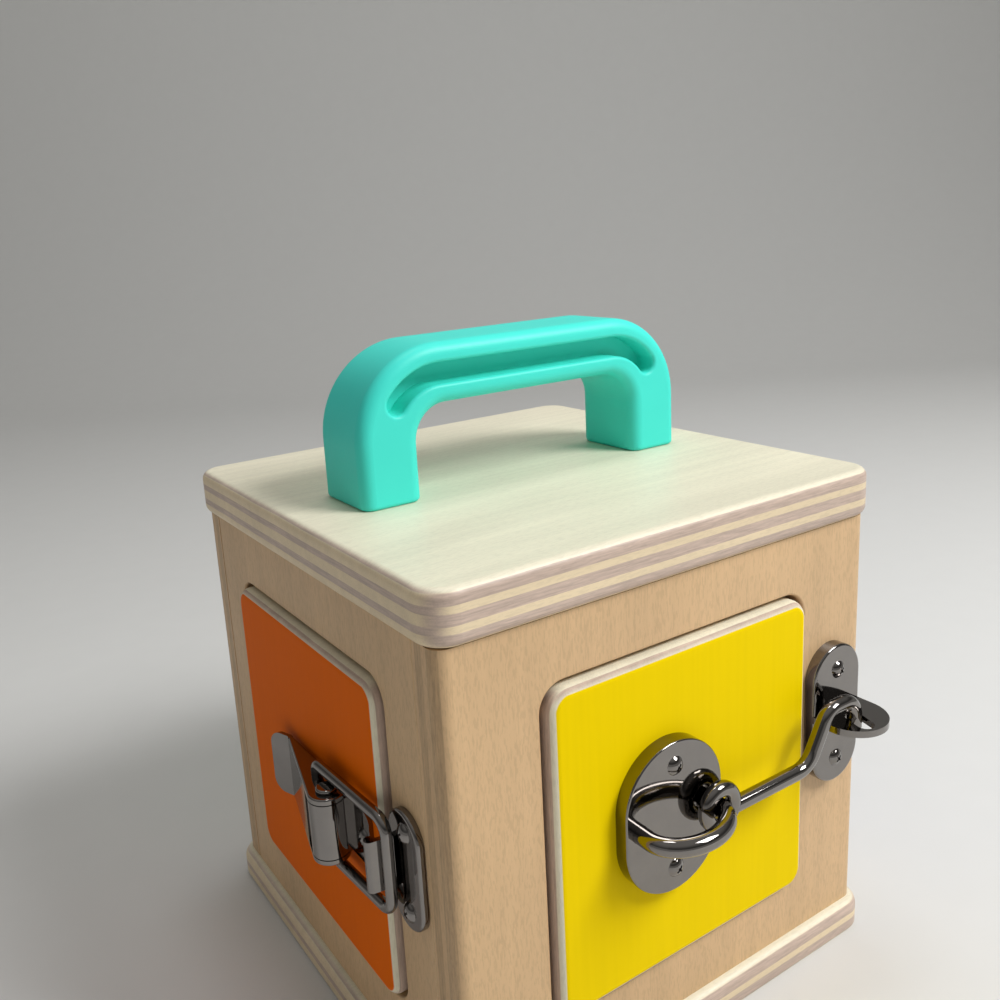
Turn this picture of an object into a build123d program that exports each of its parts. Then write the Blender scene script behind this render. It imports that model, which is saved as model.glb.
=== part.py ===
from build123d import *
import os
from math import asin, atan2, cos, radians, sin, sqrt, tan

# Wooden lock box, in millimetres: +Z up, origin at the centre of the base board's underside.
# The front (cabin hook) faces -Y and the left side (toggle latch) faces -X.
# Every side is drawn flat: u runs to the right seen from outside, v runs up from the base's
# underside and out runs away from the panel's outer face.

# Boards and panels
body_width = 146.0
body_depth = 146.0
base_thickness = 10.0
base_overhang = 3.0
base_edge_radius = 3.0
lid_thickness = 14.0
lid_overhang = 2.0
lid_edge_radius = 2.5
lid_lower_radius = 3.0
base_lower_radius = 1.5
board_corner_radius = 8.0
panel_height = 126.0
panel_thickness = 10.0
panel_edge_radius = 4.0
side_panel_edge_radius = 0.8

# Doors, and the hidden pins they turn on
door_width = 90.0
door_height = 90.0
door_gap = 1.2
door_proud = 2.5
door_corner_radius = 6.0
door_edge_radius = 2.5
door_stop_gap = 0.5
opening_edge_radius = 0.8
pin_radius = 1.25
pin_depth = 3.5
pin_engagement = 8.0
pin_press_clearance = 0.02
pin_running_clearance = 0.05
pin_end_clearance = 1.0
door_swing_clearance = 0.3
stop_lap = 5.0
stop_wall_gap = 1.0
stop_thickness = 5.0
stop_short = 5.0

# Handle
handle_length = 114.0
handle_depth = 26.0
handle_height = 43.0
handle_corner_radius = 26.0
handle_leg_width = 18.3
handle_bar_height = 17.0
handle_inner_radius = 10.0
handle_edge_radius = 3.6
groove_wall = 5.5
groove_width = 6.0
groove_depth = 8.0
groove_end_angle = 38.0
groove_edge_radius = 1.2
handle_screw_radius = 2.0
handle_screw_head_radius = 3.6
handle_screw_head_height = 2.0
handle_screw_bite = 12.0
handle_screw_tip_gap = 1.0

# Screws
screw_radius = 1.2
screw_length = 8.0
screw_head_radius = 2.6
screw_head_height = 1.4
screw_clearance = 0.05
screw_hole_spare = 0.5
screw_recess_width = 0.55
screw_recess_depth = 0.7
screw_recess_share = 0.42
overcut = 1.0

# Cabin hook, on the front: back is measured from the door's latch edge, inset from the jamb's
hook_plate_back = 55.0
hook_plate_width = 33.0
hook_plate_height = 42.0
hook_plate_thickness = 4.0
hook_plate_edge_radius = 0.5
hook_plate_screw_reach = 14.5
hook_lift = 1.5
staple_radius = 12.0
staple_wire_radius = 2.4
staple_leg = 3.2
staple_bow = 8.6
staple_bite = 5.0
hook_rod_radius = 2.1
hook_eye_clearance = 0.4
hook_stand_off = 3.5
hook_shaft_drop = 1.8
hook_bend_run = 8.2
hook_rise_run = 11.9
hook_rise = 12.7
hook_tip_offset = 0.9
hook_tip_rise = 2.1
hook_bend_radius = 8.0
hook_curl_radius = 5.5
keeper_inset = 1.3
keeper_lift = 4.5
keeper_width = 20.0
keeper_height = 43.0
keeper_thickness = 3.5
keeper_edge_radius = 0.8
keeper_screw_reach = 14.0
tongue_lift = 6.5
tongue_thickness = 2.0
tongue_length = 18.5
tongue_slot_width = 5.2
tongue_slot_travel = 4.6
tongue_slot_lean = 16.0

# Toggle latch, on the left: runs are measured back from the pivot, the bail's bar or the valley
toggle_lift = 0.5
toggle_sheet = 1.5
toggle_pivot_out = 8.0
toggle_pivot_radius = 1.5
toggle_pivot_head_radius = 2.8
toggle_pivot_head_height = 1.0
toggle_barrel_radius = 5.0
toggle_barrel_length = 15.6
toggle_side_gap = 0.3
toggle_foot_thickness = 1.2
toggle_foot_back = 23.0
toggle_foot_ahead = 15.0
toggle_foot_width = 15.6
toggle_foot_corner = 3.0
toggle_neck = 8.0
toggle_screw_back = 19.0
toggle_screw_ahead = 11.5
lever_end_radius = 5.0
lever_valley_run = 32.4
lever_valley_low = 3.8
lever_valley_high = 5.0
lever_web_run = 6.0
lever_tab_run = 7.1
lever_tab_rise = 2.6
lever_corner_radius = 4.0
lever_edge_radius = 0.5
bail_wire_radius = 1.5
bail_hinge_run = 9.0
bail_hinge_out = 6.5
bail_bar_run = 26.3
bail_bar_offset = 3.2
bail_bar_out = 4.5
bail_arm_reach = 12.6
bail_end_reach = 7.4
bail_corner_radius = 4.0
bail_end_radius = 2.0
catch_inset = 0.8
catch_width = 15.0
catch_height = 32.0
catch_thickness = 2.0
catch_edge_radius = 0.8
catch_lip_width = 14.0
catch_lip_thickness = 1.6
catch_lip_lean = 10.0
catch_lip_top = 7.3
catch_lip_roll = 1.5
catch_lip_gap = 0.4
catch_screw_offset = 1.0
catch_screw_reach = 10.8

# Slide bolt, on the right
bolt_radius = 4.0
bolt_length = 50.0
bolt_back = 3.0
bolt_chamfer = 0.8
bolt_clearance = 0.06
bolt_plate_length = 50.0
bolt_plate_back = 4.0
bolt_plate_height = 28.0
bolt_plate_thickness = 1.6
bolt_plate_corner = 4.0
bolt_lift = 0.3
bolt_guide_wall = 1.6
bolt_guide_length = 7.0
bolt_guide_inset = 5.0
bolt_knob_run = 15.5
bolt_knob_neck_radius = 2.2
bolt_knob_radius = 4.2
bolt_knob_height = 11.0
bolt_screw_reach = 10.5
bolt_screw_inset = 5.0
bolt_keeper_inset = 2.8
bolt_keeper_width = 10.0
bolt_keeper_height = 30.0
bolt_keeper_corner = 3.0
bolt_keeper_rim = 1.0
bolt_keeper_clearance = 0.9
bolt_keeper_screw_reach = 11.2

# Turn button, on the back
button_inset = 11.3
button_width = 13.0
button_tail = 6.5
button_arm = 24.0
button_thickness = 5.0
button_edge_radius = 1.2
button_clearance = 0.06
button_side_gap = 0.2
button_screw_radius = 1.6
button_screw_head = 3.4
button_screw_head_height = 1.8
button_screw_bite = 7.0
spacer_radius = 4.0
spacer_lift = 0.8

# Derived
panel_bottom = base_thickness
panel_top = base_thickness + panel_height
lid_top = panel_top + lid_thickness
door_v = base_thickness + panel_height / 2
door_bottom = door_v - door_height / 2
door_top = door_v + door_height / 2
door_back = door_stop_gap - panel_thickness
corner_reach = pin_depth + door_proud - door_edge_radius
swing_play = door_gap - door_swing_clearance
hinge_inset = door_edge_radius + (corner_reach**2 - swing_play**2) / (2 * swing_play)
hinge_u = hinge_inset - door_width / 2
latch_edge = door_width / 2
jamb_edge = latch_edge + door_gap
hook_height = door_v + hook_lift
hook_plate_u = latch_edge - hook_plate_back
hook_plate_face = door_proud + hook_plate_thickness
hook_out = hook_plate_face + hook_stand_off
hook_eye_radius = staple_wire_radius + hook_eye_clearance + hook_rod_radius
hook_eye_u = hook_plate_u + staple_radius
keeper_u = jamb_edge + keeper_inset + keeper_width / 2
keeper_v = hook_height + keeper_lift
tongue_top = hook_height + tongue_lift
hook_tip_u = keeper_u - hook_tip_offset
hook_rise_u = hook_tip_u - hook_rise_run
hook_bend_u = hook_rise_u - hook_bend_run
toggle_v = door_v + toggle_lift
catch_u = jamb_edge + catch_inset + catch_width / 2
catch_screw_u = catch_u + catch_screw_offset
bail_bar_u = catch_u - bail_bar_offset
toggle_pivot_u = bail_bar_u - bail_bar_run
bail_hinge_u = toggle_pivot_u - bail_hinge_run
lever_valley_u = toggle_pivot_u - lever_valley_run
lever_web_end = toggle_pivot_u - lever_web_run
lever_tab_u = lever_valley_u - lever_tab_run
toggle_screws_u = (toggle_pivot_u - toggle_screw_back, toggle_pivot_u + toggle_screw_ahead)
bolt_v = door_v
bolt_end = latch_edge - bolt_back
bolt_start = bolt_end - bolt_length
bolt_knob_u = bolt_start + bolt_knob_run
bolt_plate_end = latch_edge - bolt_plate_back
bolt_plate_start = bolt_plate_end - bolt_plate_length
bolt_keeper_u = jamb_edge + bolt_keeper_inset + bolt_keeper_width / 2
button_u = jamb_edge + button_inset
button_v = door_v
bolt_out = door_proud + bolt_plate_thickness + bolt_lift + bolt_radius
SIDES = {"front": (0, -1), "right": (1, 0), "back": (0, 1), "left": (-1, 0)}


# Drawing helpers
def side_plane(side):
    """Flat drawing plane of one side: X is u, Y is v and Z is out."""
    nx, ny = SIDES[side]
    reach = body_depth / 2 if nx == 0 else body_width / 2
    return Plane(origin=(nx * reach, ny * reach, 0), x_dir=(-ny, nx, 0), z_dir=(nx, ny, 0))


def place(side, shape):
    return side_plane(side) * shape


def flat(sketch, out0, out1):
    """Extrude an outline drawn in u and v from out0 to out1."""
    return Pos(0, 0, out0) * extrude(sketch, out1 - out0)


def plan(sketch, v0, v1):
    """Extrude an outline drawn in u and out from v0 up to v1."""
    return Plane(origin=(0, v1, 0), x_dir=(1, 0, 0), z_dir=(0, -1, 0)) * extrude(sketch, v1 - v0)


def polygon(*points):
    return make_face(Polyline(*points, close=True))


def peg(u, v, out0, out1, radius):
    return Pos(u, v, (out0 + out1) / 2) * Cylinder(radius, out1 - out0)


def upright(u, out, v0, v1, radius):
    return Pos(u, (v0 + v1) / 2, out) * Rot(90, 0, 0) * Cylinder(radius, v1 - v0)


def level(v, out, u0, u1, radius):
    return Pos((u0 + u1) / 2, v, out) * Rot(0, 90, 0) * Cylinder(radius, u1 - u0)


def rod(path, radius):
    return sweep(Plane(origin=path @ 0, z_dir=path % 0) * Circle(radius), path=path)


def upper_edges(part):
    return part.faces().sort_by(Axis.Z)[-1].edges()


def stadium(u, v, width, height):
    return Pos(u, v) * SlotOverall(height, width, rotation=90)


def round_screw(shank, length, head_radius, head_height):
    """Round-head cross-recess screw: the head stands above Z = 0 and the shank runs below it."""
    ball = (head_radius**2 + head_height**2) / (2 * head_height)
    dome = Pos(0, 0, head_height - ball) * Sphere(ball)
    dome &= Pos(0, 0, head_height) * Box(4 * head_radius, 4 * head_radius, 2 * head_height)
    arm = Box(2 * screw_recess_share * head_radius, screw_recess_width, 2 * screw_recess_depth)
    for turn in (45, 135):
        dome -= Pos(0, 0, head_height) * Rot(0, 0, turn) * arm
    return dome + Pos(0, 0, -length / 2) * Cylinder(shank, length)


def screw_at(u, v, seat, length=screw_length):
    return Pos(u, v, seat) * round_screw(screw_radius, length, screw_head_radius, screw_head_height)


def screw_hole(u, v, seat, length=screw_length):
    return peg(u, v, seat - length - screw_hole_spare, seat + overcut, screw_radius + screw_clearance)


def export(name, shape):
    shape.label = name
    export_step(shape, f"parts/{name}.step")


# Base and lid
def board(size_x, size_y, z0, z1, upper_radius, lower_radius):
    blank = Pos(0, 0, z0) * extrude(RectangleRounded(size_x, size_y, board_corner_radius), z1 - z0)
    blank = fillet(upper_edges(blank), upper_radius)
    return fillet(blank.faces().sort_by(Axis.Z)[0].edges(), lower_radius)


handle_leg_x = (handle_length - handle_leg_width) / 2
base_board = board(
    body_width + 2 * base_overhang,
    body_depth + 2 * base_overhang,
    0,
    base_thickness,
    base_edge_radius,
    base_lower_radius,
)
lid_board = board(
    body_width + 2 * lid_overhang,
    body_depth + 2 * lid_overhang,
    panel_top,
    lid_top,
    lid_edge_radius,
    lid_lower_radius,
)
for x in (-handle_leg_x, handle_leg_x):
    lid_board -= peg(x, 0, panel_top - overcut, lid_top + overcut, handle_screw_radius + screw_clearance)


# Panels and doors
def panel(width, edge_radius):
    """Panel with eased upright edges, its door opening and the hinge pin holes."""
    blank = flat(Pos(0, door_v) * Rectangle(width, panel_height), -panel_thickness, 0)
    blank = fillet(upper_edges(blank).filter_by(Axis.Y), edge_radius)
    opening = RectangleRounded(
        door_width + 2 * door_gap, door_height + 2 * door_gap, door_corner_radius + door_gap
    )
    blank -= flat(Pos(0, door_v) * opening, -panel_thickness - overcut, overcut)
    rim = upper_edges(blank).filter_by(
        lambda e: abs(e.center().X) < door_width / 2 + 2 * door_gap
        and abs(e.center().Y - door_v) < door_height / 2 + 2 * door_gap
    )
    blank = fillet(rim, opening_edge_radius)
    pin_hole = pin_radius + pin_press_clearance
    return blank - upright(hinge_u, -pin_depth, panel_bottom - overcut, panel_top + overcut, pin_hole)


def door(holes):
    """Door with eased front edges, bored for its two hinge pins and its hardware."""
    outline = RectangleRounded(door_width, door_height, door_corner_radius)
    blank = fillet(upper_edges(flat(Pos(0, door_v) * outline, door_back, door_proud)), door_edge_radius)
    bore = pin_radius + pin_running_clearance
    depth = pin_engagement + pin_end_clearance
    blank -= upright(hinge_u, -pin_depth, door_bottom - overcut, door_bottom + depth, bore)
    blank -= upright(hinge_u, -pin_depth, door_top - depth, door_top + overcut, bore)
    for hole in holes:
        blank -= hole
    return blank


def hinge_pins():
    lower = upright(hinge_u, -pin_depth, panel_bottom, door_bottom + pin_engagement, pin_radius)
    upper = upright(hinge_u, -pin_depth, door_top - pin_engagement, panel_top, pin_radius)
    return Compound([lower, upper])


def door_stop(side_reach):
    """Strip behind the door's latch edge that runs to the next panel, whose outer face is at side_reach."""
    u0 = latch_edge - stop_lap
    u1 = side_reach - panel_thickness - stop_wall_gap
    outline = Pos((u0 + u1) / 2, door_v) * Rectangle(u1 - u0, door_height - 2 * stop_short)
    return flat(outline, -panel_thickness - stop_thickness, -panel_thickness)


# Handle
def handle_outline(inset):
    """Arch outline in X and Z, moved inwards by inset; it runs on below the lid."""
    width = handle_length - 2 * inset
    height = handle_height - inset + handle_corner_radius
    centre = lid_top + handle_height - inset - height / 2
    return Pos(0, centre) * RectangleRounded(width, height, handle_corner_radius - inset)


def is_groove_rim(edge):
    """True for an edge that lies deeper inside the arch outline than the eased outer rim."""
    near = handle_outline(groove_wall - groove_width / 8)
    far = handle_outline(groove_wall + groove_width + groove_width / 8)
    point = Vector(edge.center().X, edge.center().Z, 0)
    return near.face().is_inside(point) and not far.face().is_inside(point)


def make_handle():
    face = handle_outline(0)
    gap_width = handle_length - 2 * handle_leg_width
    gap_height = handle_height - handle_bar_height
    gap_centre = lid_top + gap_height - handle_height / 2
    face -= Pos(0, gap_centre) * RectangleRounded(gap_width, handle_height, handle_inner_radius)
    face &= Pos(0, lid_top + handle_height / 2) * Rectangle(2 * handle_length, handle_height)
    upstand = Plane(origin=(0, 0, 0), x_dir=(1, 0, 0), z_dir=(0, -1, 0))
    solid = upstand * (Pos(0, 0, -handle_depth / 2) * extrude(face, handle_depth))
    rims = solid.edges().filter_by(
        lambda e: abs(abs(e.center().Y) - handle_depth / 2) < 0.01 and e.center().Z > lid_top + 0.01
    )
    solid = fillet(rims, handle_edge_radius)
    bend = handle_corner_radius - groove_wall - groove_width / 2
    arc_u = handle_length / 2 - handle_corner_radius
    arc_v = lid_top + handle_height - handle_corner_radius
    end_u = cos(radians(groove_end_angle))
    end_v = sin(radians(groove_end_angle))
    groove = handle_outline(groove_wall) - handle_outline(groove_wall + groove_width)
    groove &= polygon(
        (-arc_u, arc_v),
        (-arc_u - handle_length * end_u, arc_v + handle_length * end_v),
        (arc_u + handle_length * end_u, arc_v + handle_length * end_v),
        (arc_u, arc_v),
    )
    for u in (-arc_u - bend * end_u, arc_u + bend * end_u):
        groove += Pos(u, arc_v + bend * end_v) * Circle(groove_width / 2)
    for start in (-handle_depth / 2, handle_depth / 2 - groove_depth):
        solid -= upstand * (Pos(0, 0, start) * extrude(groove, groove_depth))
    mouths = solid.edges().filter_by(
        lambda e: abs(abs(e.center().Y) - handle_depth / 2) < 0.01 and is_groove_rim(e)
    )
    solid = fillet(mouths, groove_edge_radius)
    for x in (-handle_leg_x, handle_leg_x):
        bore = handle_screw_radius + screw_clearance
        solid -= peg(x, 0, lid_top - overcut, lid_top + handle_screw_bite, bore)
    return solid


def make_handle_screws():
    length = lid_thickness + handle_screw_bite - handle_screw_tip_gap
    screw = round_screw(
        handle_screw_radius, length, handle_screw_head_radius, handle_screw_head_height
    )
    screw = Rot(180, 0, 0) * screw
    return Compound([Pos(x, 0, panel_top) * screw for x in (-handle_leg_x, handle_leg_x)])


# Cabin hook, staple and keeper
hook_plate_screws_v = (hook_height - hook_plate_screw_reach, hook_height + hook_plate_screw_reach)
staple_legs_u = (hook_plate_u - staple_radius, hook_plate_u + staple_radius)
staple_foot = door_proud - staple_bite
staple_hole = staple_wire_radius + screw_clearance


def make_hook_plate():
    outline = stadium(hook_plate_u, hook_height, hook_plate_width, hook_plate_height)
    plate = fillet(upper_edges(flat(outline, door_proud, hook_plate_face)), hook_plate_edge_radius)
    for v in hook_plate_screws_v:
        plate -= screw_hole(hook_plate_u, v, hook_plate_face)
    for u in staple_legs_u:
        plate -= peg(u, hook_height, door_proud - overcut, hook_plate_face + overcut, staple_hole)
    return plate


def make_staple():
    u0, u1 = staple_legs_u
    bend = hook_plate_face + staple_leg
    path = Line((u0, staple_foot), (u0, bend))
    middle = (hook_plate_u, bend)
    path += EllipticalCenterArc(middle, staple_radius, staple_bow, start_angle=180, arc_size=-180)
    path += Line((u1, bend), (u1, staple_foot))
    flat_rod = rod(path, staple_wire_radius)
    return Plane(origin=(0, hook_height, 0), x_dir=(1, 0, 0), z_dir=(0, -1, 0)) * flat_rod


def make_hook():
    shaft_v = hook_height - hook_shaft_drop
    start_u = hook_eye_u + sqrt(hook_eye_radius**2 - hook_shaft_drop**2)
    top_v = hook_height + hook_rise
    tip = (hook_tip_u, hook_height + hook_tip_rise + hook_rod_radius)
    path = FilletPolyline(
        (start_u, shaft_v),
        (hook_bend_u, shaft_v),
        (hook_rise_u, top_v),
        (hook_tip_u, top_v),
        tip,
        radius=[hook_bend_radius, hook_curl_radius, hook_curl_radius],
    )
    hook = Pos(hook_eye_u, hook_height, 0) * Torus(hook_eye_radius, hook_rod_radius)
    hook += rod(path, hook_rod_radius)
    hook += Pos(*tip) * Sphere(hook_rod_radius)
    return Pos(0, 0, hook_out) * hook


def make_keeper():
    plate = flat(stadium(keeper_u, keeper_v, keeper_width, keeper_height), 0, keeper_thickness)
    plate = fillet(upper_edges(plate), keeper_edge_radius)
    half = keeper_width / 2
    tongue = Pos(keeper_u, (tongue_length - half) / 2) * Rectangle(keeper_width, tongue_length - half)
    tongue += Pos(keeper_u, tongue_length - half) * Circle(half)
    tongue &= Pos(keeper_u, tongue_length / 2) * Rectangle(keeper_width, tongue_length)
    slot = SlotCenterToCenter(tongue_slot_travel, tongue_slot_width, rotation=90 + tongue_slot_lean)
    half_travel = tongue_slot_travel / 2
    slot_u = hook_tip_u - half_travel * sin(radians(tongue_slot_lean))
    tongue -= Pos(slot_u, hook_out + half_travel * cos(radians(tongue_slot_lean))) * slot
    keeper = plate + plan(tongue, tongue_top - tongue_thickness, tongue_top)
    for v in (keeper_v - keeper_screw_reach, keeper_v + keeper_screw_reach):
        keeper -= screw_hole(keeper_u, v, keeper_thickness)
    return keeper


# Toggle latch
def make_toggle_base():
    foot_end = door_proud + toggle_foot_thickness
    length = toggle_foot_back + toggle_foot_ahead
    outline = RectangleRounded(length, toggle_foot_width, toggle_foot_corner)
    outline = Pos(toggle_pivot_u - toggle_foot_back + length / 2, toggle_v) * outline
    base = flat(outline, door_proud, foot_end)
    half = toggle_barrel_length / 2
    neck = Pos(toggle_pivot_u, toggle_v) * Rectangle(toggle_neck, toggle_barrel_length)
    base += flat(neck, door_proud, toggle_pivot_out)
    base += upright(
        toggle_pivot_u, toggle_pivot_out, toggle_v - half, toggle_v + half, toggle_barrel_radius
    )
    bore = toggle_pivot_radius + pin_press_clearance
    base -= upright(toggle_pivot_u, toggle_pivot_out, toggle_v - 2 * half, toggle_v + 2 * half, bore)
    for u in toggle_screws_u:
        base -= screw_hole(u, toggle_v, foot_end)
    return base


lever_inside = toggle_barrel_length / 2 + toggle_side_gap
lever_outside = lever_inside + toggle_sheet


def make_toggle_pivot():
    reach = lever_outside + toggle_side_gap / 2
    pin = upright(
        toggle_pivot_u, toggle_pivot_out, toggle_v - reach, toggle_v + reach, toggle_pivot_radius
    )
    for turn, v in ((-90, toggle_v + reach), (90, toggle_v - reach)):
        head = Cylinder(
            toggle_pivot_head_radius,
            toggle_pivot_head_height,
            align=(Align.CENTER, Align.CENTER, Align.MIN),
        )
        head = fillet(upper_edges(head), 0.6 * toggle_pivot_head_height)
        pin += Pos(toggle_pivot_u, v, toggle_pivot_out) * Rot(turn, 0, 0) * head
    return pin


def make_toggle_lever():
    pu, po = toggle_pivot_u, toggle_pivot_out
    radius = lever_end_radius
    run = pu - lever_valley_u
    high = po - lever_valley_high
    low = po - lever_valley_low
    slope = atan2(high, run) + asin(radius / sqrt(run**2 + high**2))
    fall = atan2(low, run) - asin(radius / sqrt(run**2 + low**2))
    grade = tan(slope)
    corner = (lever_valley_u, lever_valley_high)
    outline = Pos(pu, po) * Circle(radius)
    outline += polygon(
        corner,
        (pu - radius * sin(slope), po + radius * cos(slope)),
        (pu + radius * sin(fall), po - radius * cos(fall)),
        (lever_valley_u, lever_valley_low),
    )
    solid = plan(outline, toggle_v - lever_outside, toggle_v + lever_outside)
    folds = solid.edges().filter_by(
        lambda e: abs(e.center().Z - lever_valley_high - grade * (e.center().X - lever_valley_u)) < 0.01
        and abs((e % 0.5).Y) < 0.01
    )
    solid = fillet(folds, lever_edge_radius)
    tab = polygon(
        (lever_valley_u + overcut, lever_valley_low),
        (lever_valley_u + overcut, lever_valley_high + grade * overcut),
        corner,
        (lever_tab_u, lever_valley_high + lever_tab_rise),
        (lever_tab_u, lever_valley_low + lever_tab_rise),
        (lever_valley_u, lever_valley_low),
    )
    solid += plan(tab, toggle_v - lever_outside, toggle_v + lever_outside)
    drop = toggle_sheet * sqrt(1 + grade**2)
    web_low = lever_valley_high - drop
    inside = polygon(
        (lever_valley_u, web_low),
        (lever_web_end, web_low + grade * (lever_web_end - lever_valley_u)),
        (lever_web_end, po + 4 * lever_end_radius),
        (pu + 4 * lever_end_radius, po + 4 * lever_end_radius),
        (pu + 4 * lever_end_radius, -lever_end_radius),
        (lever_valley_u, -lever_end_radius),
    )
    solid -= plan(inside, toggle_v - lever_inside, toggle_v + lever_inside)
    length = pu + 4 * lever_end_radius - lever_tab_u
    trim = RectangleRounded(length, 2 * lever_outside, lever_corner_radius)
    trim = Pos(lever_tab_u + length / 2, toggle_v) * trim
    solid &= flat(trim, -lever_end_radius, po + 4 * lever_end_radius)
    bore = toggle_pivot_radius + pin_running_clearance
    low = toggle_v - 2 * lever_outside
    high = toggle_v + 2 * lever_outside
    solid -= upright(pu, po, low, high, bore)
    bore = bail_wire_radius + pin_running_clearance
    solid -= upright(bail_hinge_u, bail_hinge_out, low, high, bore)
    return solid


def make_toggle_bail():
    run = bail_bar_u - bail_hinge_u
    rise = bail_bar_out - bail_hinge_out
    length = sqrt(run**2 + rise**2)
    path = FilletPolyline(
        (0, bail_end_reach),
        (0, bail_arm_reach),
        (length, bail_arm_reach),
        (length, -bail_arm_reach),
        (0, -bail_arm_reach),
        (0, -bail_end_reach),
        radius=[bail_end_radius, bail_corner_radius, bail_corner_radius, bail_end_radius],
    )
    hinge = (bail_hinge_u, toggle_v, bail_hinge_out)
    frame = Plane(origin=hinge, x_dir=(run, 0, rise), z_dir=(-rise, 0, run))
    return frame * rod(path, bail_wire_radius)


def make_catch():
    plate = flat(stadium(catch_u, toggle_v, catch_width, catch_height), 0, catch_thickness)
    plate = fillet(upper_edges(plate), catch_edge_radius)
    face_u = bail_bar_u - bail_wire_radius - catch_lip_gap
    lean = tan(radians(catch_lip_lean))
    low_u = face_u + lean * bail_bar_out
    high_u = face_u - lean * (catch_lip_top - bail_bar_out)
    lip = polygon(
        (low_u - catch_lip_thickness, 0),
        (low_u, 0),
        (high_u, catch_lip_top),
        (high_u - catch_lip_thickness, catch_lip_top),
    )
    lip += Pos(high_u - catch_lip_roll, catch_lip_top) * Circle(catch_lip_roll)
    catch = plate + plan(lip, toggle_v - catch_lip_width / 2, toggle_v + catch_lip_width / 2)
    for v in (toggle_v - catch_screw_reach, toggle_v + catch_screw_reach):
        catch -= screw_hole(catch_screw_u, v, catch_thickness)
    return catch


# Slide bolt
def bolt_arch(bore_radius, u0, u1, foot):
    """Saddle over the bolt: a round arch on two straight legs that stand at foot."""
    outer = bore_radius + bolt_guide_wall
    profile = Pos(0, bolt_out) * Circle(outer)
    profile += Pos(0, (foot + bolt_out) / 2) * Rectangle(2 * outer, bolt_out - foot)
    profile -= Pos(0, bolt_out) * Circle(bore_radius)
    profile -= Pos(0, (foot + bolt_out) / 2) * Rectangle(2 * bore_radius, bolt_out - foot)
    turn = Plane(origin=(u0, bolt_v, 0), x_dir=(0, 1, 0), z_dir=(1, 0, 0))
    return turn * extrude(profile, u1 - u0)


bolt_plate_face = door_proud + bolt_plate_thickness
bolt_screw_u = (bolt_plate_start + bolt_screw_inset, bolt_plate_end - bolt_screw_inset)
bolt_screw_v = (bolt_v - bolt_screw_reach, bolt_v + bolt_screw_reach)


def make_bolt_plate():
    length = bolt_plate_end - bolt_plate_start
    outline = RectangleRounded(length, bolt_plate_height, bolt_plate_corner)
    plate = flat(Pos(bolt_plate_start + length / 2, bolt_v) * outline, door_proud, bolt_plate_face)
    plate = fillet(upper_edges(plate), bolt_plate_thickness / 3)
    first = bolt_plate_start + bolt_guide_inset
    second = bolt_plate_end - bolt_guide_inset - bolt_guide_length
    for u in (first, second):
        plate += bolt_arch(bolt_radius + bolt_clearance, u, u + bolt_guide_length, bolt_plate_face)
    for u in bolt_screw_u:
        for v in bolt_screw_v:
            plate -= screw_hole(u, v, bolt_plate_face)
    return plate


def make_slide_bolt():
    bolt = level(bolt_v, bolt_out, bolt_start, bolt_end, bolt_radius)
    ends = bolt.edges().filter_by(GeomType.CIRCLE)
    bolt = chamfer(ends, bolt_chamfer)
    return bolt - peg(bolt_knob_u, bolt_v, bolt_out, bolt_out + 2 * bolt_radius, bolt_knob_neck_radius)


def make_bolt_knob():
    top = bolt_out + bolt_radius + bolt_knob_height - bolt_knob_radius
    knob = peg(bolt_knob_u, bolt_v, bolt_out, top, bolt_knob_neck_radius)
    return knob + Pos(bolt_knob_u, bolt_v, top) * Sphere(bolt_knob_radius)


def make_bolt_keeper():
    outline = RectangleRounded(bolt_keeper_width, bolt_keeper_height, bolt_keeper_corner)
    outline = Pos(bolt_keeper_u, bolt_v) * outline
    plate = fillet(upper_edges(flat(outline, 0, bolt_plate_thickness)), bolt_plate_thickness / 3)
    reach = bolt_keeper_width / 2 - bolt_keeper_rim
    bore = bolt_radius + bolt_keeper_clearance
    plate += bolt_arch(bore, bolt_keeper_u - reach, bolt_keeper_u + reach, bolt_plate_thickness)
    for v in (bolt_v - bolt_keeper_screw_reach, bolt_v + bolt_keeper_screw_reach):
        plate -= screw_hole(bolt_keeper_u, v, bolt_plate_thickness)
    return plate


# Turn button
spacer_top = door_proud + spacer_lift
button_low = spacer_top + button_side_gap
button_high = button_low + button_thickness
button_seat = button_high + button_side_gap
button_screw_length = button_seat + button_screw_bite


def make_spacer():
    ring = peg(button_u, button_v, 0, spacer_top, spacer_radius)
    return ring - peg(button_u, button_v, -overcut, button_seat, button_screw_radius + screw_clearance)


def make_button():
    length = button_tail + button_arm
    outline = stadium(button_u, button_v + button_tail - length / 2, button_width, length)
    button = flat(outline, button_low, button_high)
    button = fillet(upper_edges(button), button_edge_radius)
    return button - peg(button_u, button_v, 0, 2 * button_seat, button_screw_radius + button_clearance)


def make_button_screw():
    screw = round_screw(
        button_screw_radius, button_screw_length, button_screw_head, button_screw_head_height
    )
    return Pos(button_u, button_v, button_seat) * screw


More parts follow.
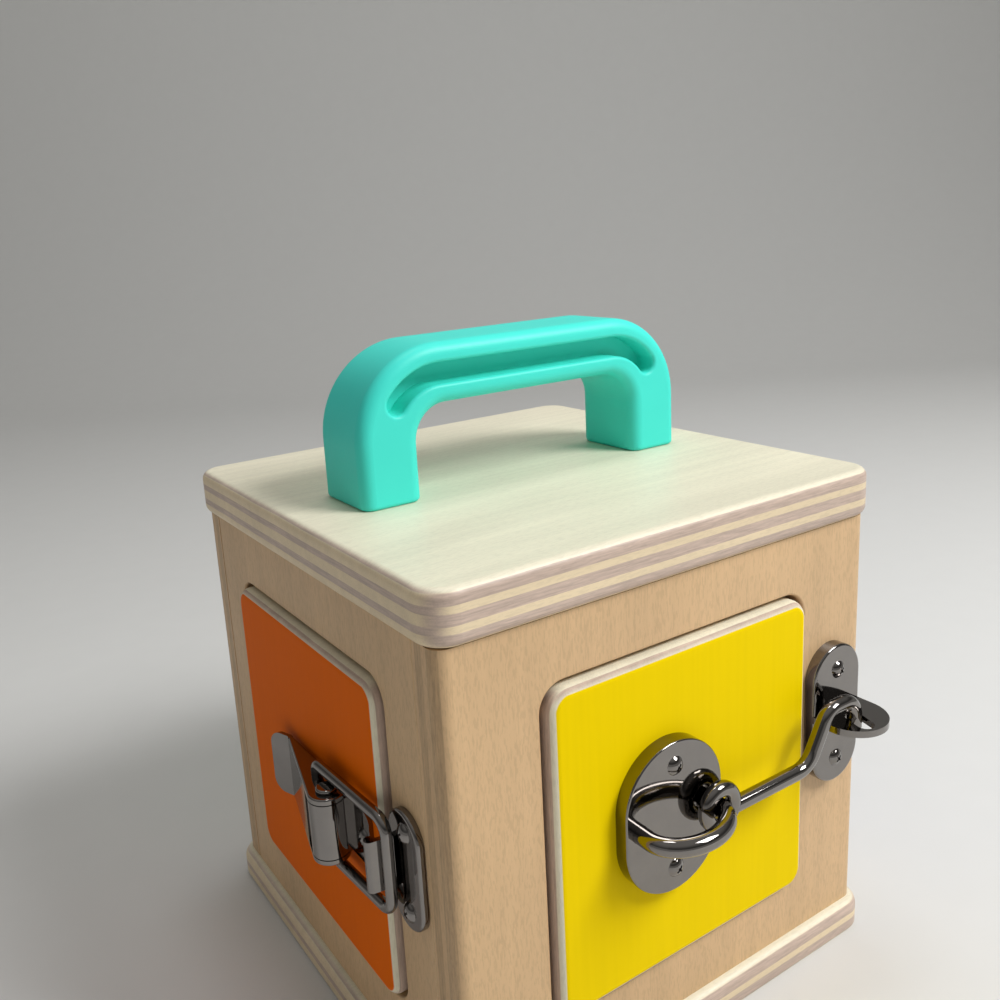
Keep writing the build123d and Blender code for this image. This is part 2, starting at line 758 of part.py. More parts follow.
# Screw places: side, node, screws as (u, v, seat)
toggle_seat = door_proud + toggle_foot_thickness
door_screws = {
    "front": ("hook_plate_screws", [(hook_plate_u, v, hook_plate_face) for v in hook_plate_screws_v]),
    "left": (
        "toggle_base_screws",
        [(u, toggle_v, toggle_seat) for u in toggle_screws_u],
    ),
    "right": ("bolt_plate_screws", [(u, v, bolt_plate_face) for u in bolt_screw_u for v in bolt_screw_v]),
}
jamb_screws = {
    "front": (
        "hook_keeper_screws",
        [(keeper_u, keeper_v + d, keeper_thickness) for d in (-keeper_screw_reach, keeper_screw_reach)],
    ),
    "left": (
        "toggle_catch_screws",
        [(catch_screw_u, toggle_v + d, catch_thickness) for d in (-catch_screw_reach, catch_screw_reach)],
    ),
    "right": (
        "bolt_keeper_screws",
        [
            (bolt_keeper_u, bolt_v + d, bolt_plate_thickness)
            for d in (-bolt_keeper_screw_reach, bolt_keeper_screw_reach)
        ],
    ),
}
door_holes = {side: [screw_hole(*at) for at in group[1]] for side, group in door_screws.items()}
door_holes["front"] += [
    peg(u, hook_height, staple_foot - screw_hole_spare, door_proud + overcut, staple_hole)
    for u in staple_legs_u
]
door_holes["back"] = []
panel_holes = {side: [screw_hole(*at) for at in group[1]] for side, group in jamb_screws.items()}
button_hole_end = -button_screw_bite - screw_hole_spare
panel_holes["back"] = [
    peg(button_u, button_v, button_hole_end, overcut, button_screw_radius + screw_clearance)
]

# Pilot holes in whichever panel is behind a screw: near a corner it can reach the next panel's edge
pilot_holes = [place(side, hole) for side in SIDES for hole in panel_holes[side]]

# Parts
nodes = {"base_board": base_board, "lid_board": lid_board}
nodes["handle"] = make_handle()
nodes["handle_screws"] = make_handle_screws()
for side in SIDES:
    across = side in ("front", "back")
    width = body_width if across else body_depth - 2 * panel_thickness
    edge_radius = panel_edge_radius if across else side_panel_edge_radius
    nodes[f"{side}_panel"] = place(side, panel(width, edge_radius)) - pilot_holes
    nodes[f"{side}_door"] = place(side, door(door_holes[side]))
    nodes[f"{side}_hinge_pins"] = place(side, hinge_pins())
    nodes[f"{side}_door_stop"] = place(side, door_stop((body_width if across else body_depth) / 2))
for screws in (door_screws, jamb_screws):
    for side, (name, places) in screws.items():
        nodes[name] = place(side, Compound([screw_at(*at) for at in places]))
nodes["hook_plate"] = place("front", make_hook_plate())
nodes["hook_staple"] = place("front", make_staple())
nodes["cabin_hook"] = place("front", make_hook())
nodes["hook_keeper"] = place("front", make_keeper())
nodes["toggle_base"] = place("left", make_toggle_base())
nodes["toggle_pivot"] = place("left", make_toggle_pivot())
nodes["toggle_lever"] = place("left", make_toggle_lever())
nodes["toggle_bail"] = place("left", make_toggle_bail())
nodes["toggle_catch"] = place("left", make_catch())
nodes["bolt_plate"] = place("right", make_bolt_plate())
nodes["slide_bolt"] = place("right", make_slide_bolt())
nodes["bolt_knob"] = place("right", make_bolt_knob())
nodes["bolt_keeper"] = place("right", make_bolt_keeper())
nodes["button_spacer"] = place("back", make_spacer())
nodes["turn_button"] = place("back", make_button())
nodes["button_screw"] = place("back", make_button_screw())

os.makedirs("parts", exist_ok=True)
for name, shape in nodes.items():
    export(name, shape)
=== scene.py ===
import math

import bpy
import numpy as np
from mathutils import Matrix, Vector


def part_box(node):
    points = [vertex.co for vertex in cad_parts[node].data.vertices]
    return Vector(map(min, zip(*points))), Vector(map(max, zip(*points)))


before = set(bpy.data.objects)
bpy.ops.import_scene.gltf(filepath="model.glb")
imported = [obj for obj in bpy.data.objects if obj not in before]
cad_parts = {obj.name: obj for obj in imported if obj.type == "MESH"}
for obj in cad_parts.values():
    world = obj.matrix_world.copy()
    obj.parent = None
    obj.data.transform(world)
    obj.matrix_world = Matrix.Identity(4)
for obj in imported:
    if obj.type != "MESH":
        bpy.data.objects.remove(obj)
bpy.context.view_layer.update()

bl_info = {
    "name": "Wooden Lock Box",
    "version": (1, 0, 0),
    "blender": (4, 5, 0),
    "location": "View3D > Sidebar > Lock Box",
    "description": "Finishes a plywood lock box with painted doors and nickel-plated latches",
    "category": "Object",
}

MM = 0.001
X, Y, Z = 0, 1, 2
# Each side's outward axis and its sign
SIDES = {"front": (Y, -1), "right": (X, 1), "back": (Y, 1), "left": (X, -1)}

# Nearly all of a noise's values lie in this span
SPAN = {"From Min": 0.3, "From Max": 0.7}
# Depth of the relief that a bump stands for
RELIEF = 0.1 * MM

# Part of the fleck noise that darkens as a pore, and how much the wood between pores lightens for it
PORE = {"From Min": 0.47, "From Max": 0.64}
PORE_LIFT = 1 / 6
# Length of the broad figure over its width
FIGURE_STRETCH = 2.5
# Pairs of one long and one cross layer in each board's thickness
BOARD_PAIRS = {"lid_board": 3, "base_board": 2}
PANEL_PAIRS = 2
# Share of a pair at which the face veneer gives way to the inner layers, and a long layer to a cross layer
VENEER = {"From Min": 0.12, "From Max": 0.3}
SEAM = {"From Min": 0.17, "From Max": 0.23}
# How far the seams wander, as a share of a pair
WANDER = 0.1
# How squarely a surface faces along the fibres where end grain starts to show, and where it shows in full
END_GRAIN = {"From Min": 0.25, "From Max": 0.8}

# Soft edge of the paint, and the length of a brush mark over its width
PAINT_EDGE = 0.25 * MM
BRUSH_STRETCH = 33

# Place in metres and width of each lamp, under the name of its power setting
LAMPS = {
    "key": ((0.52, -0.68, 0.92), 0.45),
    "fill": ((-0.9, -0.35, 0.45), 0.7),
    "top": ((0.05, 0.1, 1.1), 0.25),
}
LAMP_TARGET = (0, 0, 0.08)
# Tint of the room, and the heights, as sines of elevation, over which it dims and brightens again
ROOM_TINT = 0xF0EEEA
ROOM_DIMS = (0.1, 0.35)
ROOM_BRIGHTENS = (0.3, 0.9)
# Turn of the backdrop, which puts its wall behind the box in the camera's view
FLOOR_TURN = math.radians(-32)
# Camera solved from the photograph's perspective: place in metres, two directions and the shift of the lens
CAMERA_EYE = (-0.1669, -0.2396, 0.2240)
CAMERA_FORWARD = (0.5204, 0.8218, -0.2321)
CAMERA_RIGHT = (0.836, -0.5457, -0.0579)
CAMERA_SHIFT = (0.031, -0.044)
CAMERA_SENSOR = 36.0
CAMERA_NEAR = 0.01


def linear(hex_value):
    """Turns one sRGB hex colour into a linear colour with full alpha."""
    channels = np.array([(hex_value >> shift) & 255 for shift in (16, 8, 0)]) / 255
    low = channels / 12.92
    high = ((channels + 0.055) / 1.055) ** 2.4
    return (*np.where(channels <= 0.04045, low, high).tolist(), 1.0)


def colour(name, description, hex_value):
    """A colour setting, given in sRGB."""
    return bpy.props.FloatVectorProperty(
        name=name, description=description, subtype="COLOR", size=4, min=0, max=1, default=linear(hex_value)
    )


def number(name, description, value, **options):
    """A number setting."""
    return bpy.props.FloatProperty(name=name, description=description, default=value, **options)


def length(name, description, millimetres):
    """A length setting, given in millimetres."""
    return number(name, description, millimetres * MM, subtype="DISTANCE", unit="LENGTH", min=0)


class WoodSettings(bpy.types.PropertyGroup):
    """Plywood and beech: their grain and colours."""

    fleck_width: length("Fleck width", "Width of a pore fleck, coarser than in birch so that it shows", 0.4)
    fleck_length: length("Fleck length", "Length of one pore fleck along the grain", 2.2)
    streak_width: length("Streak width", "Width of one growth streak", 3.0)
    streak_length: length("Streak length", "Length of one growth streak along the grain", 90.0)
    edge_width: length("Edge streak width", "Width of one torn-fibre streak on a sanded edge", 0.4)
    edge_length: length("Edge streak length", "Length of one torn-fibre streak along the edge", 7.0)
    figure: length("Figure", "Size of the broad tone changes in a rotary-cut veneer", 30.0)
    lid_veneer: colour("Lid veneer", "Pale birch of the lid and base", 0xE9E2CA)
    panel_veneer: colour("Panel veneer", "Warmer birch of the panels", 0xD3B084)
    long_ply: colour("Long ply", "Layer cut along its fibres, seen on an edge", 0xE7D3B0)
    end_ply: colour("End ply", "Layer cut across its fibres, seen on an edge", 0xC8B2A3)
    panel_end: colour("Panel end ply", "The same on the panels, where sealer evens it out", 0xC09F76)
    lid_pore: number("Lid pores", "How far flecks darken the lid", 0.06)
    panel_pore: number("Panel pores", "The same on the panels", 0.1)
    beech: colour("Beech", "Lacquered beech of the turn button", 0xC99F68)


class PaintSettings(bpy.types.PropertyGroup):
    """Door paint: its colours and the bare border."""

    border: length("Border", "Bare wood left round the painted face", 1.7)
    corner: length("Corner", "Corner radius of the painted face", 2.0)
    depth: length("Depth", "How far the paint runs on to the rounded edge, measured inwards", 0.15)
    brush: length("Brush", "Width of one brush mark", 1.6)
    front: colour("Front door", "Yellow enamel", 0xF2D200)
    left: colour("Left door", "Orange enamel", 0xE86A02)
    right: colour("Right door", "Blue enamel", 0x2273C6)
    back: colour("Back door", "Green enamel", 0x3F9A45)


class HardwareSettings(bpy.types.PropertyGroup):
    """Handle plastic and latch metal."""

    plastic: colour("Handle", "Turquoise moulded plastic", 0x44E5D6)
    nickel: colour("Nickel", "Dark polished nickel plate", 0x86827F)
    zinc: colour("Zinc", "Zinc-plated screws and pins", 0xB4B3B1)


class StageSettings(bpy.types.PropertyGroup):
    """Floor, light and camera."""

    floor: colour("Floor", "Pale backdrop paper", 0xDCDCDA)
    key: number("Key", "Power of the key lamp", 12.6, unit="POWER")
    fill: number("Fill", "Power of the fill lamp", 0.05, unit="POWER")
    top: number("Top", "Power of the top lamp", 1.7, unit="POWER")
    zenith: number("Zenith", "Strength of the room overhead", 0.42)
    horizon: number("Horizon", "Strength of the room at eye level", 0.4)
    dim: number("Dim", "Strength of the room's upper walls", 0.08)
    lens: number("Lens", "Focal length", 35.19, subtype="DISTANCE_CAMERA")


SETTINGS = {
    "lock_box_wood": WoodSettings,
    "lock_box_paint": PaintSettings,
    "lock_box_hardware": HardwareSettings,
    "lock_box_stage": StageSettings,
}


def add(tree, kind, inputs=(), **settings):
    """Adds one node and returns its outputs; settings are its properties, and inputs gives sockets a value
    or the output that feeds them."""
    item = tree.nodes.new(kind)
    for name, value in settings.items():
        setattr(item, name, value)
    for socket, value in dict(inputs).items():
        if isinstance(value, bpy.types.NodeSocket):
            tree.links.new(value, item.inputs[socket])
        else:
            item.inputs[socket].default_value = value
    return item.outputs


def new_material(name):
    """A material with an empty node tree."""
    material = bpy.data.materials.new(name)
    material.use_nodes = True
    material.node_tree.nodes.clear()
    return material, material.node_tree


def close_material(tree, inputs):
    """Ends a material's tree with its surface shader and output."""
    shader = add(tree, "ShaderNodeBsdfPrincipled", inputs)
    add(tree, "ShaderNodeOutputMaterial", {"Surface": shader["BSDF"]})


def stretched(tree, across, along, axis, detail):
    """Noise whose grains measure one length along an axis and another across it."""
    squeeze = [1 / across] * 3
    squeeze[axis] = 1 / along
    coords = add(tree, "ShaderNodeTexCoord")["Object"]
    place = add(tree, "ShaderNodeVectorMath", {0: coords, 1: squeeze}, operation="MULTIPLY")[0]
    return add(tree, "ShaderNodeTexNoise", {"Vector": place, "Scale": 1.0, "Detail": detail})[0]


def grain(tree, wood, pore, axis):
    """Wood grain as a solid pattern: noise squeezed across the fibres at three sizes, short pore flecks, long
    growth streaks and a broad figure. Returns the tone to multiply a colour by, the flecks and the figure."""
    flecks = stretched(tree, wood.fleck_width, wood.fleck_length, axis, detail=2.0)
    streaks = stretched(tree, wood.streak_width, wood.streak_length, axis, detail=3.0)
    figure = stretched(tree, wood.figure, FIGURE_STRETCH * wood.figure, axis, detail=2.0)
    pores = add(
        tree,
        "ShaderNodeMapRange",
        {"Value": flecks, **PORE, "To Min": 1 + PORE_LIFT * pore, "To Max": 1 - pore},
        interpolation_type="SMOOTHSTEP",
    )[0]
    growth = add(tree, "ShaderNodeMapRange", {"Value": streaks, **SPAN, "To Min": 0.95, "To Max": 1.04})[0]
    shade = add(tree, "ShaderNodeMapRange", {"Value": figure, **SPAN, "To Min": 0.93, "To Max": 1.05})[0]
    slow = add(tree, "ShaderNodeMath", {0: growth, 1: shade}, operation="MULTIPLY")[0]
    tone = add(tree, "ShaderNodeMath", {0: slow, 1: pores}, operation="MULTIPLY")[0]
    return tone, flecks, figure


def layered(tree, wood, look, node, layer_axis, grain_axis, outward, pairs):
    """Plywood as a solid pattern: depth below the outward face, in pairs of layers, folds into long and cross
    layers, and a layer shows dark end grain where the surface faces along its fibres. The look is the veneer,
    the two layers' colours and the depth of the pores. Returns colour, flecks and depth."""
    veneer, long_ply, end_ply, pore = look
    low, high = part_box(node)
    thickness = high[layer_axis] - low[layer_axis]
    face = high[layer_axis] if outward > 0 else low[layer_axis]
    cross_axis = X + Y + Z - layer_axis - grain_axis
    tone, flecks, figure = grain(tree, wood, pore, grain_axis)
    texture = add(tree, "ShaderNodeTexCoord")
    place = add(tree, "ShaderNodeSeparateXYZ", {"Vector": texture["Object"]})
    facing = add(tree, "ShaderNodeVectorMath", {0: texture["Normal"]}, operation="ABSOLUTE")[0]
    turned = add(tree, "ShaderNodeSeparateXYZ", {"Vector": facing})
    depth = add(
        tree,
        "ShaderNodeMath",
        {0: place[layer_axis], 1: -outward, 2: outward * face},
        operation="MULTIPLY_ADD",
    )[0]
    sway = WANDER * thickness / pairs
    wander = add(tree, "ShaderNodeMath", {0: figure, 1: sway, 2: -sway / 2}, operation="MULTIPLY_ADD")[0]
    bent = add(tree, "ShaderNodeMath", {0: depth, 1: wander}, operation="ADD")[0]
    layer = add(tree, "ShaderNodeMath", {0: bent, 1: pairs / thickness}, operation="MULTIPLY")[0]
    fold = add(tree, "ShaderNodeMath", {0: layer, 1: 0.5}, operation="PINGPONG")[0]
    cross = add(tree, "ShaderNodeMapRange", {"Value": fold, **SEAM}, interpolation_type="SMOOTHSTEP")[0]
    fibres = add(
        tree,
        "ShaderNodeMix",
        {"Factor": cross, "A": turned[grain_axis], "B": turned[cross_axis]},
        data_type="FLOAT",
    )["Result"]
    end = add(tree, "ShaderNodeMapRange", {"Value": fibres, **END_GRAIN}, interpolation_type="SMOOTHSTEP")[0]
    inner = add(tree, "ShaderNodeMapRange", {"Value": layer, **VENEER}, interpolation_type="SMOOTHSTEP")[0]
    along = add(
        tree, "ShaderNodeMix", {"Factor": inner, "A": tuple(veneer), "B": tuple(long_ply)}, data_type="RGBA"
    )["Result"]
    torn = stretched(tree, wood.edge_length, wood.edge_width, layer_axis, detail=3.0)
    rub = add(tree, "ShaderNodeMapRange", {"Value": torn, **SPAN, "To Min": 0.84, "To Max": 1.12})[0]
    sawn = add(tree, "ShaderNodeVectorMath", {0: tuple(end_ply)[:3], "Scale": rub}, operation="SCALE")[0]
    bare = add(tree, "ShaderNodeMix", {"Factor": end, "A": along, "B": sawn}, data_type="RGBA")["Result"]
    tint = add(tree, "ShaderNodeVectorMath", {0: bare, "Scale": tone}, operation="SCALE")[0]
    return tint, flecks, depth


def birch_plywood(wood, look, node, **plies):
    """Birch plywood, sanded and sealed satin: short flecks on its face, cream and mauve bands on edges."""
    material, tree = new_material(f"birch_plywood_{node}")
    tint, flecks, _ = layered(tree, wood, look, node, **plies)
    rough = add(tree, "ShaderNodeMapRange", {"Value": flecks, "To Min": 0.36, "To Max": 0.52})[0]
    bump = add(tree, "ShaderNodeBump", {"Height": flecks, "Strength": 0.1, "Distance": RELIEF})[0]
    close_material(tree, {"Base Color": tint, "Roughness": rough, "Normal": bump})
    return material


def lacquered_beech(wood):
    """Solid beech, sanded and lacquered: warm tan with short dark ray flecks under a satin film."""
    material, tree = new_material("lacquered_beech")
    tone, flecks, _ = grain(tree, wood, wood.panel_pore, Z)
    tint = add(tree, "ShaderNodeVectorMath", {0: tuple(wood.beech)[:3], "Scale": tone}, operation="SCALE")[0]
    rough = add(tree, "ShaderNodeMapRange", {"Value": flecks, "To Min": 0.34, "To Max": 0.5})[0]
    bump = add(tree, "ShaderNodeBump", {"Height": flecks, "Strength": 0.08, "Distance": RELIEF})[0]
    close_material(tree, {"Base Color": tint, "Roughness": rough, "Normal": bump})
    return material


def enamel_on_birch(wood, paint, side):
    """Satin enamel brushed on a plywood door: the flat face is one strong colour, the rounded edge is bare
    wood. A rounded rectangle and the depth below the face make the mask that keeps the paint off the edge."""
    material, tree = new_material(f"enamel_on_birch_{side}")
    node = f"{side}_door"
    out_axis, outward = SIDES[side]
    look = (wood.lid_veneer, wood.lid_veneer, wood.end_ply, wood.lid_pore)
    tint, flecks, depth = layered(tree, wood, look, node, out_axis, Z, outward, PANEL_PAIRS)
    low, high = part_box(node)
    coords = add(tree, "ShaderNodeTexCoord")["Object"]
    middle = (low + high) / 2
    middle[out_axis] = 0
    inner = (high - low) / 2 - Vector((1, 1, 1)) * (paint.border + paint.corner)
    # A metre is past the door, so this axis takes no part in the rectangle
    inner[out_axis] = 1
    offset = add(tree, "ShaderNodeVectorMath", {0: coords, 1: middle}, operation="SUBTRACT")[0]
    size = add(tree, "ShaderNodeVectorMath", {0: offset}, operation="ABSOLUTE")[0]
    past = add(tree, "ShaderNodeVectorMath", {0: size, 1: inner}, operation="SUBTRACT")[0]
    reach = add(tree, "ShaderNodeVectorMath", {0: past}, operation="MAXIMUM")[0]
    radius = add(tree, "ShaderNodeVectorMath", {0: reach}, operation="LENGTH")["Value"]
    painted = {"To Min": 1.0, "To Max": 0.0}
    inside = add(
        tree,
        "ShaderNodeMapRange",
        {"Value": radius, "From Min": paint.corner, "From Max": paint.corner + PAINT_EDGE, **painted},
        interpolation_type="SMOOTHSTEP",
    )[0]
    flat = add(
        tree,
        "ShaderNodeMapRange",
        {"Value": depth, "From Min": paint.depth, "From Max": 2 * paint.depth, **painted},
        interpolation_type="SMOOTHSTEP",
    )[0]
    mask = add(tree, "ShaderNodeMath", {0: inside, 1: flat}, operation="MULTIPLY")[0]
    brush = stretched(tree, paint.brush, BRUSH_STRETCH * paint.brush, Z, detail=3.0)
    tone = add(tree, "ShaderNodeMapRange", {"Value": brush, **SPAN, "To Min": 0.985, "To Max": 1.012})[0]
    hue = tuple(getattr(paint, side))[:3]
    coat = add(tree, "ShaderNodeVectorMath", {0: hue, "Scale": tone}, operation="SCALE")[0]
    mixed = add(tree, "ShaderNodeMix", {"Factor": mask, "A": tint, "B": coat}, data_type="RGBA")["Result"]
    rough = add(tree, "ShaderNodeMapRange", {"Value": mask, "To Min": 0.6, "To Max": 0.5})[0]
    relief = add(
        tree, "ShaderNodeMix", {"Factor": mask, "A": flecks, "B": brush}, data_type="FLOAT"
    )["Result"]
    bump = add(tree, "ShaderNodeBump", {"Height": relief, "Strength": 0.08, "Distance": RELIEF})[0]
    close_material(
        tree, {"Base Color": mixed, "Roughness": rough, "Normal": bump, "Specular IOR Level": 0.03}
    )
    return material


def moulded_polypropylene(hue):
    """Injection-moulded polypropylene: one even bright colour with a faint moulded grain and a soft, waxy
    sheen."""
    material, tree = new_material("moulded_polypropylene")
    grit_size, flow_size = 0.8 * MM, 35 * MM
    coords = add(tree, "ShaderNodeTexCoord")["Object"]
    grit = add(tree, "ShaderNodeTexNoise", {"Vector": coords, "Scale": 1 / grit_size, "Detail": 2.0})[0]
    flow = add(tree, "ShaderNodeTexNoise", {"Vector": coords, "Scale": 1 / flow_size, "Detail": 2.0})[0]
    tone = add(tree, "ShaderNodeMapRange", {"Value": flow, **SPAN, "To Min": 0.97, "To Max": 1.02})[0]
    tint = add(tree, "ShaderNodeVectorMath", {0: tuple(hue)[:3], "Scale": tone}, operation="SCALE")[0]
    rough = add(tree, "ShaderNodeMapRange", {"Value": grit, "To Min": 0.38, "To Max": 0.52})[0]
    bump = add(tree, "ShaderNodeBump", {"Height": grit, "Strength": 0.05, "Distance": RELIEF})[0]
    close_material(
        tree,
        {"Base Color": tint, "Roughness": rough, "Normal": bump, "IOR": 1.49, "Specular IOR Level": 0.35},
    )
    return material


def plated_steel(name, hue, smooth, worn, smear):
    """Plated steel: a mirror whose gloss is clouded a little by rubbing, from smooth to worn, in smears of
    one size."""
    material, tree = new_material(name)
    coords = add(tree, "ShaderNodeTexCoord")["Object"]
    cloud = add(
        tree, "ShaderNodeTexNoise", {"Vector": coords, "Scale": 1 / smear, "Detail": 5.0, "Roughness": 0.65}
    )[0]
    rough = add(tree, "ShaderNodeMapRange", {"Value": cloud, **SPAN, "To Min": smooth, "To Max": worn})[0]
    tone = add(tree, "ShaderNodeMapRange", {"Value": cloud, **SPAN, "To Min": 1.04, "To Max": 0.93})[0]
    tint = add(tree, "ShaderNodeVectorMath", {0: tuple(hue)[:3], "Scale": tone}, operation="SCALE")[0]
    close_material(tree, {"Base Color": tint, "Metallic": 1.0, "Roughness": rough})
    return material


def give(node, material):
    """Puts a material in every slot of a CAD node."""
    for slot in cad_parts[node].material_slots:
        slot.material = material


class LOCKBOX_OT_boards(bpy.types.Operator):
    """Gives the boards, panels and door stops their plywood"""

    bl_idname = "lockbox.boards"
    bl_label = "Boards and Panels"

    def execute(self, context):
        wood = context.scene.lock_box_wood
        look = (wood.lid_veneer, wood.long_ply, wood.end_ply, wood.lid_pore)
        for node, pairs in BOARD_PAIRS.items():
            plies = {"layer_axis": Z, "grain_axis": X, "outward": 1, "pairs": pairs}
            give(node, birch_plywood(wood, look, node, **plies))
        look = (wood.panel_veneer, wood.panel_veneer, wood.panel_end, wood.panel_pore)
        for side, (out_axis, outward) in SIDES.items():
            plies = {"layer_axis": out_axis, "grain_axis": Z, "outward": outward, "pairs": PANEL_PAIRS}
            for node in (f"{side}_panel", f"{side}_door_stop"):
                give(node, birch_plywood(wood, look, node, **plies))
        return {"FINISHED"}


class LOCKBOX_OT_doors(bpy.types.Operator):
    """Paints the doors"""

    bl_idname = "lockbox.doors"
    bl_label = "Doors"

    def execute(self, context):
        scene = context.scene
        for side in SIDES:
            give(f"{side}_door", enamel_on_birch(scene.lock_box_wood, scene.lock_box_paint, side))
        return {"FINISHED"}


class LOCKBOX_OT_handle(bpy.types.Operator):
    """Finishes the carrying handle"""

    bl_idname = "lockbox.handle"
    bl_label = "Handle"

    def execute(self, context):
        give("handle", moulded_polypropylene(context.scene.lock_box_hardware.plastic))
        return {"FINISHED"}


class LOCKBOX_OT_latches(bpy.types.Operator):
    """Finishes the cabin hook, toggle latch, slide bolt and turn button"""

    bl_idname = "lockbox.latches"
    bl_label = "Latches"

    def execute(self, context):
        hue = context.scene.lock_box_hardware.nickel
        nickel = plated_steel("polished_nickel_plate", hue, smooth=0.03, worn=0.09, smear=9 * MM)
        for name in (
            "hook_plate",
            "hook_staple",
            "cabin_hook",
            "hook_keeper",
            "hook_plate_screws",
            "hook_keeper_screws",
            "toggle_base",
            "toggle_pivot",
            "toggle_lever",
            "toggle_bail",
            "toggle_catch",
            "toggle_base_screws",
            "toggle_catch_screws",
            "bolt_plate",
            "slide_bolt",
            "bolt_knob",
            "bolt_keeper",
        ):
            give(name, nickel)
        beech = lacquered_beech(context.scene.lock_box_wood)
        for name in ("turn_button", "button_spacer"):
            give(name, beech)
        return {"FINISHED"}


class LOCKBOX_OT_fixings(bpy.types.Operator):
    """Finishes the plain screws and the hinge pins"""

    bl_idname = "lockbox.fixings"
    bl_label = "Screws and Pins"

    def execute(self, context):
        hue = context.scene.lock_box_hardware.zinc
        zinc = plated_steel("zinc_plated_steel", hue, smooth=0.22, worn=0.36, smear=3 * MM)
        for name in ("handle_screws", "bolt_plate_screws", "bolt_keeper_screws", "button_screw"):
            give(name, zinc)
        for side in SIDES:
            give(f"{side}_hinge_pins", zinc)
        return {"FINISHED"}


def sweep_floor(half_width, front, back, bend, height, steps):
    """Paper sweep: a profile of floor, quarter circle and wall in Y and Z, carried along X."""
    angle = np.linspace(-np.pi / 2, 0, steps)
    y = np.concatenate([[front], back - bend + bend * np.cos(angle), [back]])
    z = np.concatenate([[0.0], bend + bend * np.sin(angle), [height]])
    x = np.array([-half_width, half_width])
    points = np.stack(np.broadcast_arrays(x[:, None], y[None, :], z[None, :]), axis=-1).reshape(-1, 3)
    start = np.arange(len(y) - 1)
    faces = np.stack([start, start + len(y), start + len(y) + 1, start + 1], axis=1)
    return points, faces


def make_floor(stage):
    """Backdrop paper: matt, near white, with a faint cloud of fibres, bent up behind the box."""
    mesh = bpy.data.meshes.new("floor")
    points, faces = sweep_floor(half_width=2.5, front=-2.0, back=1.6, bend=0.6, height=2.2, steps=24)
    mesh.from_pydata(points.tolist(), [], faces.tolist())
    mesh.transform(Matrix.Rotation(FLOOR_TURN, 4, "Z"))
    mesh.shade_smooth()
    floor = bpy.data.objects.new("floor", mesh)
    bpy.context.scene.collection.objects.link(floor)
    material, tree = new_material("backdrop_paper")
    fibre_size = 17 * MM
    coords = add(tree, "ShaderNodeTexCoord")["Object"]
    fibre = add(tree, "ShaderNodeTexNoise", {"Vector": coords, "Scale": 1 / fibre_size, "Detail": 3.0})[0]
    tone = add(tree, "ShaderNodeMapRange", {"Value": fibre, "To Min": 0.985, "To Max": 1.015})[0]
    tint = add(tree, "ShaderNodeVectorMath", {0: tuple(stage.floor)[:3], "Scale": tone}, operation="SCALE")[0]
    close_material(tree, {"Base Color": tint, "Roughness": 0.9})
    mesh.materials.append(material)


def make_lamp(name, power):
    """A square soft lamp that faces the middle of the box."""
    eye, size = LAMPS[name]
    light = bpy.data.lights.new(name, "AREA")
    light.energy = power
    light.size = size
    item = bpy.data.objects.new(name, light)
    aim = (Vector(LAMP_TARGET) - Vector(eye)).to_track_quat("-Z", "Y").to_matrix().to_4x4()
    item.matrix_world = Matrix.Translation(eye) @ aim
    bpy.context.scene.collection.objects.link(item)


def make_room(stage):
    """A plain room: pale at eye level, dim above that and brighter overhead, so polished metal has something
    to show and every view has a pale background."""
    world = bpy.data.worlds.new("room")
    bpy.context.scene.world = world
    world.use_nodes = True
    tree = world.node_tree
    tree.nodes.clear()
    direction = add(tree, "ShaderNodeTexCoord")["Generated"]
    height = add(tree, "ShaderNodeSeparateXYZ", {"Vector": direction})["Z"]
    bands = [
        add(
            tree,
            "ShaderNodeMapRange",
            {"Value": height, "From Min": low, "From Max": high, "To Min": start, "To Max": end},
            interpolation_type="SMOOTHSTEP",
        )[0]
        for (low, high), start, end in (
            (ROOM_DIMS, stage.horizon, stage.dim),
            (ROOM_BRIGHTENS, stage.dim, stage.zenith),
        )
    ]
    strength = add(tree, "ShaderNodeMath", {0: bands[0], 1: bands[1]}, operation="MAXIMUM")[0]
    room = add(tree, "ShaderNodeBackground", {"Color": linear(ROOM_TINT), "Strength": strength})
    add(tree, "ShaderNodeOutputWorld", {"Surface": room[0]})


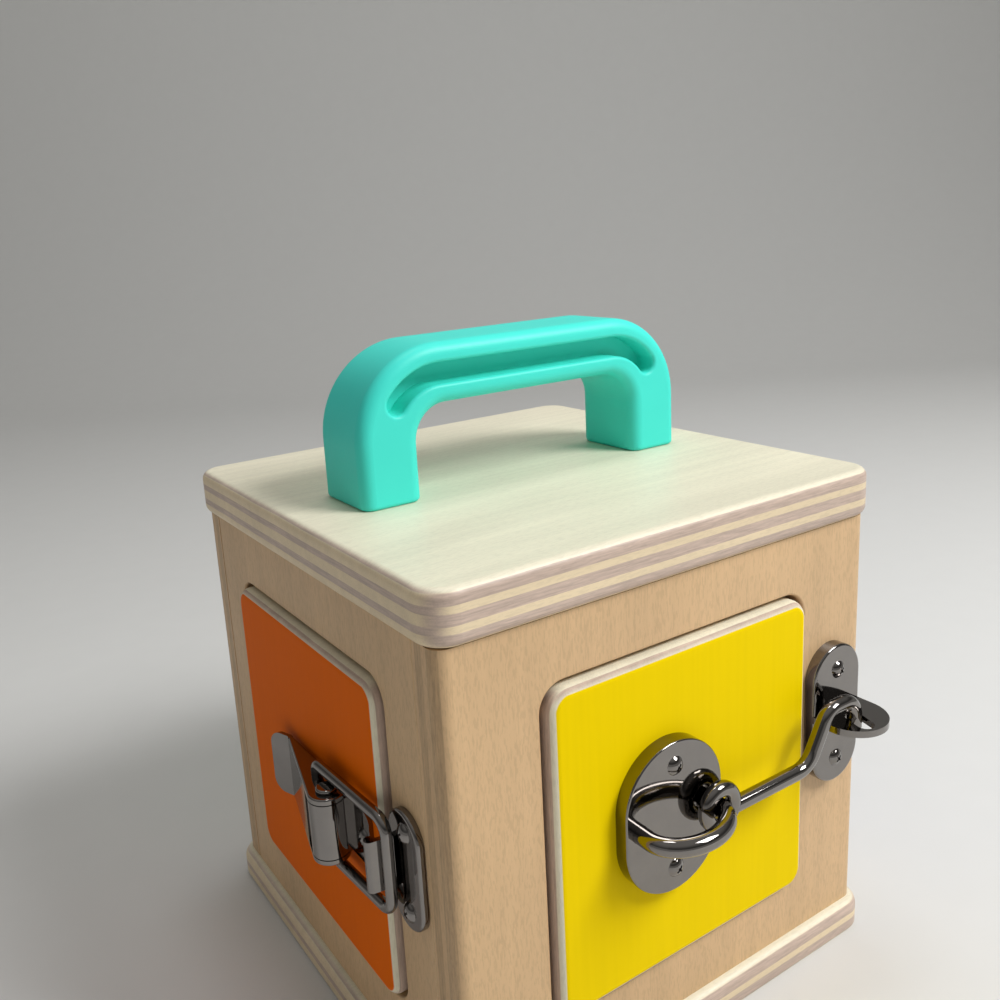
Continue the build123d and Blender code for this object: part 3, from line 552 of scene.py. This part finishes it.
def make_camera(stage):
    """The photograph's camera, with the lens shift that its perspective gave."""
    data = bpy.data.cameras.new("camera")
    data.sensor_width = CAMERA_SENSOR
    data.lens = stage.lens
    data.shift_x, data.shift_y = CAMERA_SHIFT
    data.clip_start = CAMERA_NEAR
    camera = bpy.data.objects.new("camera", data)
    forward = Vector(CAMERA_FORWARD).normalized()
    right = Vector(CAMERA_RIGHT).normalized()
    turn = Matrix((right, right.cross(forward), -forward)).transposed().to_4x4()
    camera.matrix_world = Matrix.Translation(CAMERA_EYE) @ turn
    bpy.context.scene.collection.objects.link(camera)
    bpy.context.scene.camera = camera


class LOCKBOX_OT_stage(bpy.types.Operator):
    """Sets the floor, the lamps, the room and the camera"""

    bl_idname = "lockbox.stage"
    bl_label = "Stage"

    def execute(self, context):
        stage = context.scene.lock_box_stage
        make_floor(stage)
        for name in LAMPS:
            make_lamp(name, getattr(stage, name))
        make_room(stage)
        make_camera(stage)
        context.scene.view_settings.view_transform = "Standard"
        return {"FINISHED"}


OPERATORS = (
    LOCKBOX_OT_boards,
    LOCKBOX_OT_doors,
    LOCKBOX_OT_handle,
    LOCKBOX_OT_latches,
    LOCKBOX_OT_fixings,
    LOCKBOX_OT_stage,
)


class LOCKBOX_PT_panel(bpy.types.Panel):
    """Lists the lock box operators and settings"""

    bl_idname = "LOCKBOX_PT_panel"
    bl_label = "Lock Box"
    bl_space_type = "VIEW_3D"
    bl_region_type = "UI"
    bl_category = "Lock Box"

    def draw(self, context):
        for operator in OPERATORS:
            self.layout.operator(operator.bl_idname)
        for name, group in SETTINGS.items():
            column = self.layout.column(align=True)
            for item in group.__annotations__:
                column.prop(getattr(context.scene, name), item)


def register():
    for name, group in SETTINGS.items():
        bpy.utils.register_class(group)
        setattr(bpy.types.Scene, name, bpy.props.PointerProperty(type=group))
    for item in (*OPERATORS, LOCKBOX_PT_panel):
        bpy.utils.register_class(item)


def unregister():
    for item in reversed((*OPERATORS, LOCKBOX_PT_panel)):
        bpy.utils.unregister_class(item)
    for name, group in reversed(SETTINGS.items()):
        delattr(bpy.types.Scene, name)
        bpy.utils.unregister_class(group)


def main():
    register()
    for operator in OPERATORS:
        group, name = operator.bl_idname.split(".")
        getattr(getattr(bpy.ops, group), name)()


if __name__ == "__main__":
    main()
